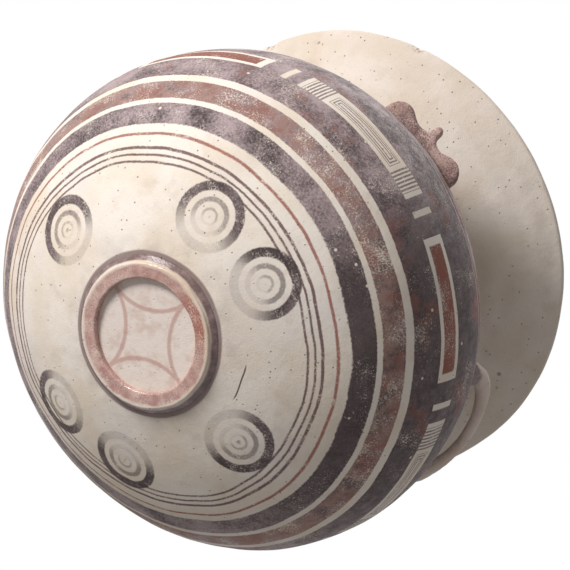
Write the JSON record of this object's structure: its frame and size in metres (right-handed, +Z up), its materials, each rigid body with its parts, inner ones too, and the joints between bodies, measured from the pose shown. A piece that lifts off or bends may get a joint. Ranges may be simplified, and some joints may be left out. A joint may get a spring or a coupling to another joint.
{
  "type": "funnel-mouthed olla",
  "caption": "Round-bellied terracotta olla with a low ring foot, wide funnel mouth, two loop handles, two horned lugs and banded matt-painted ornament.",
  "frame": {"origin": "middle of the foot's resting face, on the vessel's axis", "axes": "+Z up along the vessel's axis to the mouth, +X towards the first loop handle, -Y towards the first horned lug"},
  "size_m": [0.4063, 0.3937, 0.3437],
  "materials": {
    "painted_clay": "matte",
    "foot_clay": "matte",
    "dark_wash": "matte",
    "plain_clay": "matte"
  },
  "bodies": {
    "root": {"foot_ring": "foot_clay", "belly_bowl": "painted_clay", "shoulder_wall": "dark_wash", "funnel_mouth": "plain_clay", "loop_handle_1": "plain_clay", "loop_handle_2": "plain_clay", "horned_lug_1": "dark_wash", "horned_lug_2": "dark_wash"}
  },
  "joints": []
}
